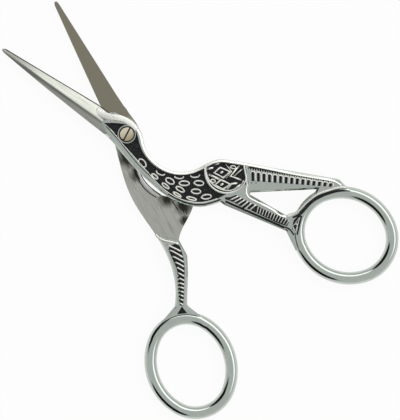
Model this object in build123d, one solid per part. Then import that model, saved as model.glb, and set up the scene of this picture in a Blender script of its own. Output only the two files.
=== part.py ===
from build123d import *

import os
from math import atan2, cos, degrees, hypot, pi, radians, sin, tan

# Stork embroidery scissors, lying open on a table.
# Two drop-forged steel halves cross at a slotted shoulder screw. Each half is one piece from the point
# of its blade to its finger ring. Blade, head, neck and body are half as thick as the handle, so that
# the halves lap.
# Frame: the origin is on the pivot axis, in the back face that rests on the table, and +Z is up.
# A half is drawn along its own axis: u runs from the points towards the rings, v towards the bird's
# back, and w is the height above the plane where the two halves meet.

# Pose of the two halves, in degrees
front_axis_angle = -34.5
open_angle = 27.0
rear_axis_angle = front_axis_angle - open_angle

# Thickness of a half, and the play between the two flat inner faces
layer = 1.70
face_gap = 0.04
inner_face = face_gap / 2
outer_face = layer + inner_face
overrun = 1.0

# Blade, from the pivot axis to the point, and the width of the head to each side of the axis
blade_length = 39.3
head_width = 3.2

# Body: from the pivot axis to the crotch above the leg, and from the axis down to the belly
body_length = 30.0
body_depth = 7.4
edge_bevel = 0.50
lap_clearance = 0.55
belly_clearance = 1.00
step_slope = 25.0

# Front half: finger ring, tail and lower leg
front_ring_reach = 61.8
front_ring_rise = 10.55
front_ring_long = 10.8
front_ring_short = 9.35
front_ring_tilt = 10.3
wing_corner = 2.00
tail_corner = 1.40
heel_corner = 1.20
crotch_corner = 0.30
hole_corner = 0.30

# Rear half: finger ring
rear_ring_reach = 60.9
rear_ring_drop = 14.05
rear_ring_long = 10.9
rear_ring_short = 8.70
rear_ring_tilt = -9.0
leg_corner = 1.00
flare_corner = 0.80

# Wire of both rings: its width seen from above, and the flats that its round section is drawn with. From
# the middle of the wire, the seam is where tail and gussets meet it, and the rim is the edge of the hole.
ring_wire = 3.25
ring_flats = 16
ring_seam = 1.05
ring_rim = 1.75

# Relief
field_depth = 0.40
wing_radius = 5.75
wing_rim = 0.55
wing_reach = 26.9
wing_rise = 6.6
panel_rim = 0.60
groove_depth = 0.30
tail_slots = 15
leg_broad_slots = 5
leg_fine_slots = 12
ladder_broad_slots = 5
ladder_fine_slots = 9
slot_share = 0.50

# Pivot screw, its seat in the front half and its boss in the rear half
shoulder_radius = 1.20
thread_radius = 1.00
head_radius = 1.84
head_height = 0.85
head_bevel = 0.22
head_play = 0.03
seat_depth = 0.55
seat_clearance = 0.14
shank_clearance = 0.04
lip_width = 0.40
lip_height = 0.15
boss_radius = 2.30
driver_slot_width = 0.42
driver_slot_depth = 0.35
driver_slot_angle = 62.0

# Blade sections, from the point to inside the head. The distance is a share of the blade's length.
# Cutting edge, the two sides of the ridge, and the spine are shares of the head's width. The heights of
# edge, ridge and spine are shares of the layer.
front_blade_shares = [
    (1.000, (0.044, 0.009, -0.009, -0.110), (0.035, 0.265, 0.190)),
    (0.980, (0.119, -0.012, -0.031, -0.200), (0.047, 0.365, 0.247)),
    (0.660, (0.361, -0.165, -0.190, -0.580), (0.052, 0.600, 0.370)),
    (0.262, (0.663, -0.266, -0.297, -0.930), (0.059, 0.853, 0.500)),
    (0.181, (0.600, -0.310, -0.350, -0.985), (0.059, 0.882, 0.530)),
    (0.150, (0.938, 0.375, -0.560, -1.010), (0.294, 0.953, 0.541)),
    (0.115, (0.970, 0.750, -0.797, -1.020), (0.559, 1.000, 0.559)),
    (0.070, (0.970, 0.750, -0.797, -1.020), (0.559, 1.000, 0.559)),
]
rear_blade_shares = [
    (1.000, (0.060, 0.009, -0.009, -0.110), (0.035, 0.265, 0.190)),
    (0.980, (0.165, 0.000, -0.020, -0.200), (0.047, 0.365, 0.247)),
    (0.660, (0.450, -0.120, -0.145, -0.475), (0.052, 0.600, 0.370)),
    (0.262, (0.780, -0.250, -0.281, -0.785), (0.059, 0.853, 0.500)),
    (0.181, (0.690, -0.297, -0.344, -0.875), (0.059, 0.882, 0.530)),
    (0.150, (0.938, 0.375, -0.531, -0.953), (0.294, 0.953, 0.541)),
    (0.115, (0.970, 0.750, -0.797, -0.970), (0.559, 1.000, 0.559)),
    (0.070, (0.970, 0.750, -0.797, -0.970), (0.559, 1.000, 0.559)),
]

# Outlines, as shares of the body's length and depth
back_shares = [
    (-0.150, 0.424), (-0.087, 0.466), (-0.023, 0.482), (0.040, 0.446), (0.100, 0.324), (0.170, 0.068),
    (0.253, -0.155), (0.360, -0.284), (0.473, -0.243), (0.567, -0.061), (0.630, 0.149),
]
wing_back_shares = [(0.677, 0.392), (0.715, 0.662), (0.743, 0.919), (0.777, 1.095), (0.830, 1.230)]
belly_shares = [
    (-0.150, -0.446), (-0.040, -0.534), (0.067, -0.662), (0.187, -0.784), (0.310, -0.892), (0.447, -0.966),
    (0.583, -1.000), (0.700, -0.932), (0.800, -0.818), (0.887, -0.622), (0.953, -0.365), (1.000, -0.110),
]
crotch_shares = [(1.050, -0.105)]
rear_top_shares = [(0.672, 0.392), (0.712, 0.660), (0.752, 0.850), (0.795, 0.905)]
rear_side_shares = [(0.829, 0.811), (0.912, 0.353), (0.981, -0.028), (1.019, -0.163)]
rear_belly_shares = [
    (-0.150, -0.405), (-0.040, -0.480), (0.094, -0.610), (0.253, -0.770), (0.442, -0.905),
    (0.635, -0.908), (0.863, -0.808),
]

# Rear leg, as shares of its run from the body's length to the ring, and of the body's depth
leg_top_shares = [(0.313, -0.170), (0.433, -0.300), (0.641, -0.546), (0.846, -0.822), (0.992, -1.004)]
leg_belly_shares = [(0.122, -0.786), (0.481, -0.922), (0.810, -1.250), (0.916, -1.420)]
ladder_broad_shares = [(0.151, -0.278), (0.395, -0.393), (0.079, -0.643), (0.359, -0.691)]
ladder_fine_shares = [(0.453, -0.461), (0.905, -1.094), (0.421, -0.716), (0.905, -1.228)]

# Recessed field of the body, as shares of the body's length and depth
field_back_shares = [
    (-0.219, -0.128), (-0.167, 0.020), (-0.103, 0.176), (-0.045, 0.280), (0.013, 0.311), (0.057, 0.250),
    (0.113, 0.068), (0.187, -0.162), (0.267, -0.297), (0.360, -0.365), (0.467, -0.324), (0.563, -0.162),
    (0.640, 0.081),
]
field_wing_shares = [(0.687, 0.351), (0.730, 0.703), (0.763, 0.932), (0.827, 1.108)]
field_belly_shares = [
    (-0.219, -0.128), (-0.150, -0.170), (-0.067, -0.264), (0.010, -0.365), (0.120, -0.473), (0.230, -0.581),
    (0.340, -0.689), (0.447, -0.800), (0.583, -0.870), (0.700, -0.811), (0.800, -0.676), (0.877, -0.486),
    (0.933, -0.257), (0.963, -0.068),
]
rear_field_top_shares = [(0.690, 0.330), (0.730, 0.590), (0.770, 0.740)]
rear_field_end_shares = [(0.812, 0.690), (0.943, -0.050), (0.905, -0.480)]
rear_field_belly_shares = [
    (-0.219, -0.128), (-0.150, -0.160), (-0.067, -0.240), (0.010, -0.330), (0.120, -0.420), (0.230, -0.530),
    (0.340, -0.640), (0.447, -0.740), (0.583, -0.775), (0.700, -0.740), (0.800, -0.670), (0.870, -0.570),
]

# Front handle, as shares of its ring's reach and rise
hole_start_share = (0.556, 0.490)
wing_end_shares = [(0.486, 1.010), (0.538, 0.705)]
tail_ladder_shares = [(0.520, 0.985), (0.840, 1.910), (0.544, 0.790), (0.845, 1.820)]
leg_broad_shares = [(0.523, 0.290), (0.600, 0.340), (0.500, 0.095), (0.592, 0.125)]
leg_fine_shares = [(0.620, 0.345), (0.770, 0.520), (0.630, 0.200), (0.770, 0.370)]
tail_groove_shares = [(0.500, 1.030), (0.835, 1.988), (0.838, 1.942), (0.504, 0.989)]
leg_groove_shares = [(0.500, 0.036), (0.767, 0.330), (0.770, 0.276), (0.503, -0.014)]

# Where tail, gussets, flare and the hole's wide end meet a ring, as shares of the ring's outer half axes
tail_shoulder_share = (-0.690, 0.880)
tail_tip_share = (-0.430, 0.826)
heel_share = (-0.953, -0.620)
gusset_share = (-0.595, -0.845)
flare_share = (-0.645, 0.730)
rear_gusset_share = (-0.915, -0.260)
flare_recess_shares = [(-1.040, 0.440), (-0.885, 0.470), (-0.955, 0.270)]
hole_end_shares = [(-0.928, 0.444), (-0.853, -0.109), (-1.003, -0.176), (-1.122, -0.356)]

plated_steel = Color(0.78, 0.79, 0.78)
nickel_silver = Color(0.80, 0.76, 0.64)


# Points from a table of shares of a length and a depth
def spread(shares, length, depth):
    return [(length * share_u, depth * share_v) for share_u, share_v in shares]


# Points of the rear leg, from a table of shares
def along_leg(shares):
    leg_run = rear_ring_reach - rear_ring_long - ring_wire - body_length
    return [(body_length + leg_run * share_u, body_depth * share_v) for share_u, share_v in shares]


# A line of points moved to its left by a distance, square to its run
def beside(points, distance):
    moved = []
    for index, (u, v) in enumerate(points):
        before = points[max(index - 1, 0)]
        after = points[min(index + 1, len(points) - 1)]
        run = hypot(after[0] - before[0], after[1] - before[1])
        share = distance / run
        moved.append((u - share * (after[1] - before[1]), v + share * (after[0] - before[0])))
    return moved


# A point on the line between two others
def between(start, end, share):
    return (start[0] + (end[0] - start[0]) * share, start[1] + (end[1] - start[1]) * share)


# A flat region given thickness between two heights
def slab(region, low, high):
    return Pos(0, 0, low) * extrude(region, amount=high - low, dir=(0, 0, 1))


# A point near a ring, as shares of its outer half axes
def near_ring(centre, half_long, half_short, share):
    along = (half_long + ring_wire) * share[0]
    across = (half_short + ring_wire) * share[1]
    return (centre[0] + along, centre[1] + across)


# Oval along the middle of a ring's wire, as four arcs that run into each other
def wire_path(centre, half_long, half_short, tilt):
    long_axis = half_long + ring_wire / 2
    short_axis = half_short + ring_wire / 2
    chord = hypot(long_axis, short_axis)
    near = (chord - long_axis + short_axis) / 2
    tight = chord * near / long_axis
    wide = chord * (chord - near) / short_axis
    turn = degrees(atan2(wide - short_axis, long_axis - tight))
    arcs = [
        CenterArc((long_axis - tight, 0), tight, start_angle=-turn, arc_size=2 * turn),
        CenterArc((0, short_axis - wide), wide, start_angle=turn, arc_size=180 - 2 * turn),
        CenterArc((tight - long_axis, 0), tight, start_angle=180 - turn, arc_size=2 * turn),
        CenterArc((0, wide - short_axis), wide, start_angle=180 + turn, arc_size=180 - 2 * turn),
    ]
    return Wire([Pos(*centre) * Rot(0, 0, tilt) * arc for arc in arcs])


front_ring_centre = (front_ring_reach, front_ring_rise)
front_ring = (front_ring_centre, front_ring_long, front_ring_short)
front_back = spread(back_shares + wing_back_shares, body_length, body_depth)
front_belly = spread(belly_shares, body_length, body_depth)
tail_shoulder = near_ring(*front_ring, tail_shoulder_share)
tail_tip = near_ring(*front_ring, tail_tip_share)
heel = near_ring(*front_ring, heel_share)
front_gusset = near_ring(*front_ring, gusset_share)

rear_ring_centre = (rear_ring_reach, -rear_ring_drop)
rear_ring = (rear_ring_centre, rear_ring_long, rear_ring_short)
rear_side = spread(rear_side_shares, body_length, body_depth)
rear_back = spread(back_shares + rear_top_shares, body_length, body_depth) + rear_side
rear_leg_top = along_leg(leg_top_shares)
rear_belly = spread(rear_belly_shares, body_length, body_depth) + along_leg(leg_belly_shares)
flare = near_ring(*rear_ring, flare_share)
rear_gusset = near_ring(*rear_ring, rear_gusset_share)

step_reach = (outer_face + inner_face) * tan(radians(step_slope))
lip_radius = head_radius + seat_clearance + lip_width
field_floor = outer_face - field_depth
seat_floor = outer_face - seat_depth


# One section of a blade, square to its axis. side is 1 where the cutting edge is on the back's side.
def blade_section(side, length_share, width_shares, height_shares):
    cut, crest_near, crest_far, spine = [side * head_width * share for share in width_shares]
    edge_height, crest_height, spine_height = [inner_face + layer * share for share in height_shares]
    outline = [
        (cut, inner_face),
        (cut, edge_height),
        (crest_near, crest_height),
        (crest_far, crest_height),
        (spine, spine_height),
        (spine, inner_face),
    ]
    across = Plane(origin=(-blade_length * length_share, 0, 0), x_dir=(0, 1, 0), z_dir=(1, 0, 0))
    return across * make_face(Polyline(*outline, close=True))


# Blade from its point into the head: flat inside, a ridge outside, and a notch where the cutting edge ends
def blade(side, stations):
    sections = [blade_section(side, *station) for station in stations]
    return loft(sections, ruled=True)


# A region with its corner at a point rounded
def rounded_corner(region, point, radius):
    return fillet(region.vertices().sort_by_distance(point)[0], radius)


# Seen from above: head, back, tail, the way to the ring's middle, gusset, lower leg, crotch and belly
def front_silhouette():
    back = Spline(*front_back)
    belly = Spline(*front_belly)
    crotch = spread(crotch_shares, body_length, body_depth)
    outline = back + Polyline(back @ 1, tail_shoulder, tail_tip, front_ring_centre, front_gusset, heel)
    outline += Polyline(heel, *crotch, belly @ 1) + belly + Line(belly @ 0, back @ 0)
    region = rounded_corner(make_face(outline), back @ 1, wing_corner)
    region = rounded_corner(region, tail_shoulder, tail_corner)
    region = rounded_corner(region, heel, heel_corner)
    return rounded_corner(region, belly @ 1, crotch_corner)


# Seen from above: head, back, shoulder, side, leg, flare, the way to the ring's middle, gusset and belly
def rear_silhouette():
    back = Spline(*rear_back)
    leg = Spline(*rear_leg_top)
    belly = Spline(*rear_belly)
    outline = back + Line(back @ 1, leg @ 0) + leg
    outline += Polyline(leg @ 1, flare, rear_ring_centre, rear_gusset, belly @ 1)
    outline += belly + Line(belly @ 0, back @ 0)
    region = rounded_corner(make_face(outline), back @ 1, crotch_corner)
    region = rounded_corner(region, leg @ 0, leg_corner)
    region = rounded_corner(region, leg @ 1, flare_corner)
    return rounded_corner(region, belly @ 1, flare_corner)


# The gap between tail and lower leg, whose wide end follows the ring
def front_hole():
    corners = spread([hole_start_share], front_ring_reach, front_ring_rise)
    corners += [near_ring(*front_ring, share) for share in hole_end_shares]
    region = rounded_corner(Polygon(*corners, align=None), corners[0], hole_corner)
    region = rounded_corner(region, corners[-1], hole_corner)
    return region - offset(make_face(wire_path(*front_ring, front_ring_tilt)), amount=ring_rim)


# Where one half gives way to the other half's body, up to a distance from a line along that body. side is 1
# where the line runs down from the back, and -1 where it runs up from the belly.
def lap_region(line, distance, side):
    step = beside(line, side * distance)
    high = side * front_ring_reach
    far = -front_ring_reach
    return Polygon((far, -high), (far, high), (step[0][0], high), *step, (step[-1][0], -high), align=None)


# The space of the other half's body, with a step that slopes up and away from it
def lap_space(line, distance, side):
    depth = outer_face + inner_face + overrun
    near = Pos(0, 0, inner_face) * lap_region(line, distance, side)
    wide = lap_region(line, distance + step_reach * depth / (outer_face + inner_face), side)
    return loft([near, Pos(0, 0, inner_face - depth) * wide], ruled=True)


# Edges in the outer and inner faces of a handle, without the end that runs into the blade
def face_edges(body):
    flat = [edge for edge in body.edges() if abs(abs(edge.center().Z) - outer_face) < inner_face]
    return [edge for edge in flat if edge.center().X > body.bounding_box().min.X + inner_face]


# Handle of a half at its full thickness, with bevelled edges and the lap cut away
def handle(silhouette, lap):
    body = slab(silhouette, -outer_face, outer_face)
    return chamfer(face_edges(body), edge_bevel) - lap


# Section of the wire: flats that touch the oval as high as the handle and as wide as the wire
def wire_section():
    step = 2 * pi / ring_flats
    half_height = outer_face / cos(step / 2)
    half_width = ring_wire / 2 / cos(step / 2)
    angles = [step * (index + 0.5) for index in range(ring_flats)]
    corners = [(half_height * cos(angle), half_width * sin(angle)) for angle in angles]
    return Polygon(*corners, align=None)


# Finger ring: its wire, after the web is cut out up to the seam
def with_ring(body, centre, half_long, half_short, tilt):
    path = wire_path(centre, half_long, half_short, tilt)
    body -= slab(offset(make_face(path), amount=ring_seam), -outer_face - overrun, outer_face + overrun)
    return body + sweep(Plane(path @ 0, z_dir=path % 0, x_dir=(0, 0, 1)) * wire_section(), path=path)


# A row of slots between two lines, given by the ends of each
def ladder(corners, count):
    near_start, near_end, far_start, far_end = corners
    slots = []
    for index in range(count):
        low = index / count
        high = (index + slot_share) / count
        slot = [
            between(near_start, near_end, low),
            between(near_start, near_end, high),
            between(far_start, far_end, high),
            between(far_start, far_end, low),
        ]
        slots.append(Polygon(*slot, align=None))
    return slots


# Slots cut into both faces of a handle
def cut_slots(body, slots):
    region = Sketch() + slots
    body -= slab(region, outer_face - groove_depth, outer_face + overrun)
    return body - slab(region, -outer_face - overrun, groove_depth - outer_face)


# Raised rim of the wing
def wing_ring():
    return Pos(wing_reach, wing_rise) * (Circle(wing_radius) - Circle(wing_radius - wing_rim))


# Sunk field of the front half's body and wing
def front_field():
    back = Spline(*spread(field_back_shares + field_wing_shares, body_length, body_depth))
    belly = Spline(*spread(field_belly_shares, body_length, body_depth))
    wing_end = spread(wing_end_shares, front_ring_reach, front_ring_rise)
    field = make_face(back + Polyline(back @ 1, *wing_end, belly @ 1) + belly)
    wing_centre = (wing_reach, wing_rise)
    below = (wing_end[1][0], (belly @ 1).Y)
    corner = Polygon(wing_centre, wing_end[1], below, belly @ 1, align=None)
    return field + (Pos(*wing_centre) * Circle(wing_radius) & corner)


# Sunk field of the rear half's body, which ends at the lap
def rear_field():
    back = Spline(*spread(field_back_shares + rear_field_top_shares, body_length, body_depth))
    belly = Spline(*spread(rear_field_belly_shares, body_length, body_depth))
    end = spread(rear_field_end_shares, body_length, body_depth)
    return make_face(back + Polyline(back @ 1, *end, belly @ 1) + belly)


# Front half, drawn along its own axis with its outside up
def front_half():
    body = handle(front_silhouette() - front_hole(), lap_space(rear_side, lap_clearance, 1))
    body = with_ring(body, *front_ring, front_ring_tilt)
    body += blade(1, front_blade_shares)
    field = front_field() - wing_ring()
    body -= slab(field - Circle(lip_radius), field_floor, outer_face + overrun)
    panel = field - lap_region(rear_side, lap_clearance + step_reach + panel_rim, 1)
    body -= slab(panel, -outer_face - overrun, -field_floor)
    body = cut_slots(body, ladder(spread(tail_ladder_shares, *front_ring_centre), tail_slots))
    body = cut_slots(body, ladder(spread(leg_broad_shares, *front_ring_centre), leg_broad_slots))
    body = cut_slots(body, ladder(spread(leg_fine_shares, *front_ring_centre), leg_fine_slots))
    for groove in (tail_groove_shares, leg_groove_shares):
        body = cut_slots(body, [Polygon(*spread(groove, *front_ring_centre), align=None)])
    body += slab(Circle(lip_radius), field_floor, outer_face + lip_height)
    body -= slab(Circle(head_radius + seat_clearance), seat_floor, outer_face + overrun)
    return body - slab(Circle(shoulder_radius + shank_clearance), -overrun, outer_face + overrun)


# Rear half, drawn along its own axis with its outside up, like the front half
def rear_half():
    body = handle(rear_silhouette(), lap_space(front_belly[-4:], belly_clearance, -1))
    recess = [near_ring(*rear_ring, share) for share in flare_recess_shares]
    body = cut_slots(body, [Polygon(*recess, align=None)])
    body = with_ring(body, *rear_ring, rear_ring_tilt)
    body += blade(-1, rear_blade_shares)
    field = rear_field() - wing_ring() - Circle(boss_radius)
    body -= slab(field, field_floor, outer_face + overrun)
    body = cut_slots(body, ladder(along_leg(ladder_broad_shares), ladder_broad_slots))
    body = cut_slots(body, ladder(along_leg(ladder_fine_shares), ladder_fine_slots))
    return body - slab(Circle(thread_radius), -overrun, outer_face + overrun)


# Shoulder screw: slotted head in the front half's seat, shoulder through it, thread in the rear half
def pivot_screw():
    head_floor = seat_floor + head_play
    head = slab(Circle(head_radius), head_floor, head_floor + head_height)
    head = chamfer(head.edges().group_by(Axis.Z)[-1], head_bevel)
    shoulder = slab(Circle(shoulder_radius), -inner_face, head_floor)
    thread = slab(Circle(thread_radius), -outer_face, -inner_face)
    slot = Rot(0, 0, driver_slot_angle) * Rectangle(2 * head_radius + overrun, driver_slot_width)
    slot_floor = head_floor + head_height - driver_slot_depth
    return head + shoulder + thread - slab(slot, slot_floor, slot_floor + driver_slot_depth + overrun)


# Name, colour and place in the pose of the photograph
def placed(shape, name, angle, colour):
    part = Pos(0, 0, outer_face) * Rot(0, 0, angle) * shape
    part.label = name
    part.color = colour
    return part


parts = [
    placed(front_half(), "front_half", front_axis_angle, plated_steel),
    placed(mirror(rear_half(), about=Plane.XY), "rear_half", rear_axis_angle, plated_steel),
    placed(pivot_screw(), "pivot_screw", 0, nickel_silver),
]

os.makedirs("parts", exist_ok=True)
for part in parts:
    export_step(part, f"parts/{part.label}.step")
    print(part.label, round(part.volume, 1), len(part.solids()), part.is_valid)
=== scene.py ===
from math import cos, radians, sin, tau

import bmesh
import bpy
from mathutils import Matrix, Vector


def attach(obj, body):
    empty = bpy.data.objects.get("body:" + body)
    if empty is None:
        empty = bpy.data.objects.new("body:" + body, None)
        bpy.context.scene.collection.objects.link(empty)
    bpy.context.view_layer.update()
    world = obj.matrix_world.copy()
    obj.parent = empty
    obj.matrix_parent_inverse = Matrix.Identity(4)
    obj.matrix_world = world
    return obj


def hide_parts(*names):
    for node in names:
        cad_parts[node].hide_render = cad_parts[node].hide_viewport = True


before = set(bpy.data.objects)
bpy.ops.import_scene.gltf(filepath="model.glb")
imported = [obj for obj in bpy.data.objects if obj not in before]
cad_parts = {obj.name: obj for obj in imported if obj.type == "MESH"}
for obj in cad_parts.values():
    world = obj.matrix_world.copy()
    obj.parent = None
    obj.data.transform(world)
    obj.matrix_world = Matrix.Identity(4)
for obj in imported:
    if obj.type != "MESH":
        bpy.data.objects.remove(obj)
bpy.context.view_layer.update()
mm = 0.001
print("frame loaded:", sorted(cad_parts))

# Camera straight above the scissors, which lie flat
cameraView = {
    "photoSize": (400, 420),        # pixels
    "pivotPixel": (126.8, 134.2),   # middle of the screw in the photo
    "pixelSize": 0.26 * mm,         # what one pixel covers at the height of the handles
    "distance": 0.75,               # metres above the front half
    "sensorHeight": 24,
}

# Levels that the relief shares with the CAD
level = {
    "top": 3.44 * mm,       # outside of the front half
    "fieldTop": 3.04 * mm,  # floor of the sunk body field
    "meeting": 1.72 * mm,   # plane where the halves meet
}
axisAngle = {"front": radians(-34.5), "rear": radians(-61.5)}  # each half's long axis, from +X


def fromPhoto(point, height=0.0):
    pivotX, pivotY = cameraView["pivotPixel"]
    step = cameraView["pixelSize"]
    return Vector(((point[0] - pivotX) * step, (pivotY - point[1]) * step, height))


def makeCamera(view):
    width, height = view["photoSize"]
    data = bpy.data.cameras.new("photoCamera")
    data.sensor_fit = "VERTICAL"
    data.sensor_height = view["sensorHeight"]
    data.lens = view["sensorHeight"] * view["distance"] / (height * view["pixelSize"])
    camera = bpy.data.objects.new("photoCamera", data)
    camera.location = fromPhoto((width / 2, height / 2), view["distance"] + level["top"])
    bpy.context.scene.collection.objects.link(camera)
    bpy.context.scene.camera = camera


# Adds one node: settings are its attributes, inputs are values or sockets to link
def addNode(tree, kind, settings=None, inputs=None):
    node = tree.nodes.new(kind)
    for name, value in (settings or {}).items():
        setattr(node, name, value)
    for name, value in (inputs or {}).items():
        if isinstance(value, bpy.types.NodeSocket):
            tree.links.new(value, node.inputs[name])
        else:
            node.inputs[name].default_value = value
    return node


def hexColour(text):
    channels = [int(text[i:i + 2], 16) / 255 for i in (1, 3, 5)]
    linear = [c / 12.92 if c <= 0.04045 else ((c + 0.055) / 1.055) ** 2.4 for c in channels]
    return (*linear, 1.0)


# Studio seen by the metal: grey dome, one wide softbox beyond the tail, and dark gaps between the walls on
# the left. Each patch has its place on the unit dome, its half sizes and the softness of its edge.
studio = {
    "zenithLevel": 0.66,
    "horizonLevel": 0.72,
    "softboxLevel": 1.9,
    "darkLevel": 0.01,
    "softboxes": [
        ((0.42, 0.46, 0.60), (0.86, 0.86, 0.21), 0.12),
    ],
    "darkGaps": [
        ((-0.64, 0.42, 0.45), (0.40, 0.42, 0.46), 0.15),
        ((-0.54, -0.70, 0.43), (0.44, 0.38, 0.51), 0.15),
    ],
}


def skyPatch(tree, direction, patch):
    centre, radii, softness = patch
    offset = addNode(tree, "ShaderNodeVectorMath", {"operation": "SUBTRACT"}, {0: direction, 1: centre})
    shares = addNode(tree, "ShaderNodeVectorMath", {"operation": "DIVIDE"},
                     {0: offset.outputs["Vector"], 1: radii})
    reach = addNode(tree, "ShaderNodeVectorMath", {"operation": "LENGTH"}, {0: shares.outputs["Vector"]})
    fade = addNode(tree, "ShaderNodeMapRange", {"interpolation_type": "SMOOTHSTEP"},
                   {"Value": reach.outputs["Value"], "From Min": 1 - softness, "From Max": 1 + softness,
                    "To Min": 1.0, "To Max": 0.0})
    return fade.outputs["Result"]


def makeStudio(lights):
    world = bpy.data.worlds.new("studioDome")
    world.use_nodes = True
    tree = world.node_tree
    tree.nodes.clear()
    direction = addNode(tree, "ShaderNodeTexCoord").outputs["Generated"]
    height = addNode(tree, "ShaderNodeSeparateXYZ", inputs={"Vector": direction}).outputs["Z"]
    brightness = addNode(tree, "ShaderNodeMapRange", inputs={
        "Value": height, "From Min": 0.0, "From Max": 1.0,
        "To Min": lights["horizonLevel"], "To Max": lights["zenithLevel"]}).outputs["Result"]
    for patches, strength in (("softboxes", lights["softboxLevel"]), ("darkGaps", lights["darkLevel"])):
        for patch in lights[patches]:
            brightness = addNode(tree, "ShaderNodeMix", inputs={
                0: skyPatch(tree, direction, patch), 2: brightness, 3: strength}).outputs[0]
    background = addNode(tree, "ShaderNodeBackground", inputs={
        "Color": (1, 1, 1, 1), "Strength": brightness})
    addNode(tree, "ShaderNodeOutputWorld", inputs={"Surface": background.outputs[0]})
    bpy.context.scene.world = world


def meshObject(name, mesh, materials):
    piece = bpy.data.objects.new(name, mesh)
    bpy.context.scene.collection.objects.link(piece)
    for material in materials:
        mesh.materials.append(material)
    return piece


# White paper under the scissors. The camera and the metal see most of it as plain white, which keeps the
# shadow faint.
floorPaper = {"size": 3.0, "colour": "#FFFFFF", "whiteShare": 0.93, "roughness": 0.8, "gap": 0.01 * mm}


def makeFloor(paperSheet):
    material = bpy.data.materials.new("whitePaper")
    material.use_nodes = True
    tree = material.node_tree
    tree.nodes.clear()
    paper = addNode(tree, "ShaderNodeBsdfPrincipled", inputs={
        "Base Color": hexColour(paperSheet["colour"]), "Roughness": paperSheet["roughness"],
        "Specular IOR Level": 0.0})
    rays = addNode(tree, "ShaderNodeLightPath").outputs
    seen = addNode(tree, "ShaderNodeMath", {"operation": "MAXIMUM"},
                   {0: rays["Is Camera Ray"], 1: rays["Is Glossy Ray"]})
    seen = addNode(tree, "ShaderNodeMath", {"operation": "MAXIMUM"},
                   {0: seen.outputs[0], 1: rays["Is Transmission Ray"]})
    share = addNode(tree, "ShaderNodeMath", {"operation": "MULTIPLY"},
                    {0: seen.outputs[0], 1: paperSheet["whiteShare"]})
    white = addNode(tree, "ShaderNodeEmission", inputs={"Color": (1, 1, 1, 1), "Strength": 1.0})
    mixed = addNode(tree, "ShaderNodeMixShader", inputs={
        0: share.outputs[0], 1: paper.outputs[0], 2: white.outputs[0]})
    addNode(tree, "ShaderNodeOutputMaterial", inputs={"Surface": mixed.outputs[0]})
    bm = bmesh.new()
    bmesh.ops.create_grid(bm, x_segments=1, y_segments=1, size=paperSheet["size"])
    bmesh.ops.translate(bm, verts=bm.verts, vec=(0, 0, -paperSheet["gap"]))
    mesh = bpy.data.meshes.new("paperFloor")
    bm.to_mesh(mesh)
    bm.free()
    meshObject("paperFloor", mesh, [material])


makeCamera(cameraView)
makeStudio(studio)
makeFloor(floorPaper)
print("camera, studio and floor made")


def newMaterial(name):
    material = bpy.data.materials.new(name)
    material.use_nodes = True
    tree = material.node_tree
    tree.nodes.clear()
    shader = addNode(tree, "ShaderNodeBsdfPrincipled")
    addNode(tree, "ShaderNodeOutputMaterial", inputs={"Surface": shader.outputs[0]})
    place = addNode(tree, "ShaderNodeTexCoord").outputs["Object"]
    return material, tree, shader, place


# Bright nickel plate over polished steel: mirror-like with a soft wave and fine wiping marks
nickelPlate = {
    "colour": "#CBD2CB",
    "markColour": "#B6BEB7",
    "roughness": (0.05, 0.14),
    "markSize": 0.9 * mm,
    "markRange": (0.35, 0.75),  # part of the noise that the roughness follows
    "waveSize": 2.4 * mm,
    "waveHeight": 0.004 * mm,
}


def nickelMetal(name, look):
    material, tree, shader, place = newMaterial(name)
    marks = addNode(tree, "ShaderNodeTexNoise", inputs={
        "Vector": place, "Scale": 1 / look["markSize"], "Detail": 6.0, "Roughness": 0.65}).outputs[0]
    colour = addNode(tree, "ShaderNodeMix", {"data_type": "RGBA"}, {
        0: marks, 6: hexColour(look["colour"]), 7: hexColour(look["markColour"])})
    smooth, rough = look["roughness"]
    low, high = look["markRange"]
    roughness = addNode(tree, "ShaderNodeMapRange", inputs={
        "Value": marks, "From Min": low, "From Max": high, "To Min": smooth, "To Max": rough})
    wave = addNode(tree, "ShaderNodeTexNoise", inputs={
        "Vector": place, "Scale": 1 / look["waveSize"], "Detail": 1.0}).outputs[0]
    bump = addNode(tree, "ShaderNodeBump", inputs={
        "Strength": 1.0, "Distance": look["waveHeight"], "Height": wave})
    shader.inputs["Metallic"].default_value = 1.0
    tree.links.new(colour.outputs[2], shader.inputs["Base Color"])
    tree.links.new(roughness.outputs[0], shader.inputs["Roughness"])
    tree.links.new(bump.outputs[0], shader.inputs["Normal"])
    return material


# Ridges of the relief, burnished by wear and so less sharp in reflection, and lighter than the plate round
# them: the lighter colour is a painted highlight
burnishedAndHighlitNickel = dict(nickelPlate, colour="#FAFAF3", markColour="#E0E3DB", roughness=(0.26, 0.38))

# Head where it drops to the blade: the same metal left satin by hand finishing, and a lighter copy of it on
# the band over the head, which is a painted highlight
satinNickel = dict(nickelPlate, roughness=(0.50, 0.60), waveHeight=0.0)
satinWithPaintedHighlight = dict(satinNickel, colour="#FDFDF8", markColour="#ECEEE6")

# Black oxide left in the struck recesses: dull black, with grey grains where the steel shows. The same black
# also paints shade in a few places
blackOxideAndShade = {
    "colour": "#0F1013",
    "grainColour": "#4C504D",
    "grainSize": 0.26 * mm,
    "grainRange": (0.50, 0.74),  # part of the noise over which the oxide gives way to steel
    "roughness": 0.6,
    "specular": 0.25,
    "pitHeight": 0.03 * mm,
    "pitStrength": 0.6,
}


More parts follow.
